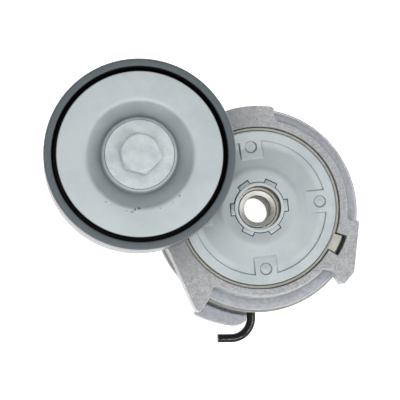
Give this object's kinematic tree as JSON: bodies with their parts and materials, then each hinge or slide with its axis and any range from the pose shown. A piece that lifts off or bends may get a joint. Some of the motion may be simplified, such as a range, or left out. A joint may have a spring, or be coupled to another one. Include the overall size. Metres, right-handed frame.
{
  "type": "belt tensioner idler",
  "caption": "Automatic belt tensioner: smooth idler pulley on a sprung cast arm that pivots on a round base, held wound by a bent locking pin.",
  "frame": {"origin": "on the pivot axis, in the plane of the rear mounting face", "axes": "+Z along the pivot axis from the mounting face towards the pulley, +X across the width, with the pulley on the -X side at rest, +Y at right angles, away from the locking pin"},
  "size_m": [0.1376, 0.1177, 0.0639],
  "materials": {
    "cast_aluminium": "as-cast, finely mottled, matt",
    "zinc_plate": "smooth bluish zinc plating, satin",
    "shield_zinc": "galvanised pressed sheet, satin, with small scuffs",
    "galvanised_fastener": "galvanised, slightly blotchy, satin",
    "tube_steel": "yellowish passivated steel, turned",
    "bearing_steel": "ground and polished",
    "nylon": "beige moulded nylon, matt",
    "cage_nylon": "glass-filled nylon, matt",
    "seal_rubber": "moulded rubber, matt",
    "rim_coating": "slate-grey coated steel, satin, with a bright rolled running face",
    "black_steel": "black oxide, slightly glossy"
  },
  "bodies": {
    "base": {"base_housing": "cast_aluminium", "pivot_tube": "tube_steel", "hub_collar": "zinc_plate", "front_plate": "zinc_plate", "torsion_spring": "black_steel", "thrust_washer": "nylon", "rim_wear_ring": "nylon"},
    "arm": {"arm_casting": "cast_aluminium", "friction_ring": "nylon", "pivot_bush": "nylon", "pulley_bolt": "galvanised_fastener", "bolt_washer": "galvanised_fastener", "front_dust_shield": "shield_zinc", "rear_dust_shield": "shield_zinc", "bearing_inner_ring": "bearing_steel"},
    "pulley": {"pulley_rim": "rim_coating", "bearing_outer_ring": "bearing_steel", "bearing_seal_front": "seal_rubber", "bearing_seal_rear": "seal_rubber", "snap_ring": "bearing_steel"},
    "cage": {"bearing_cage": "cage_nylon", "bearing_ball_1": "bearing_steel", "bearing_ball_2": "bearing_steel", "bearing_ball_3": "bearing_steel", "bearing_ball_4": "bearing_steel", "bearing_ball_5": "bearing_steel", "bearing_ball_6": "bearing_steel", "bearing_ball_7": "bearing_steel", "bearing_ball_8": "bearing_steel"},
    "pin": {"locking_pin": "black_steel"}
  },
  "joints": [
    {"name": "arm_swing", "type": "hinge", "parent": "base", "child": "arm", "pos_m": [0, 0, 0.016], "axis": [0, 0, 1], "range_deg": [-32, 0], "stiffness_Nm_per_rad": 12, "springref_deg": 91.67, "deforming": ["torsion_spring"]},
    {"name": "pulley_spin", "type": "hinge", "parent": "arm", "child": "pulley", "pos_m": [-0.05275, 0.02025, 0.047], "axis": [0, 0, 1], "continuous": true},
    {"name": "cage_spin", "type": "hinge", "parent": "arm", "child": "cage", "pos_m": [-0.05275, 0.02025, 0.047], "axis": [0, 0, 1], "continuous": true},
    {"name": "pin_pull", "type": "slide", "parent": "base", "child": "pin", "axis": [0, -1, 0], "range_m": [0, 0.02]}
  ],
  "couplings": [
    {"joint": "cage_spin", "follows": "pulley_spin", "ratio": 0.6158}
  ]
}
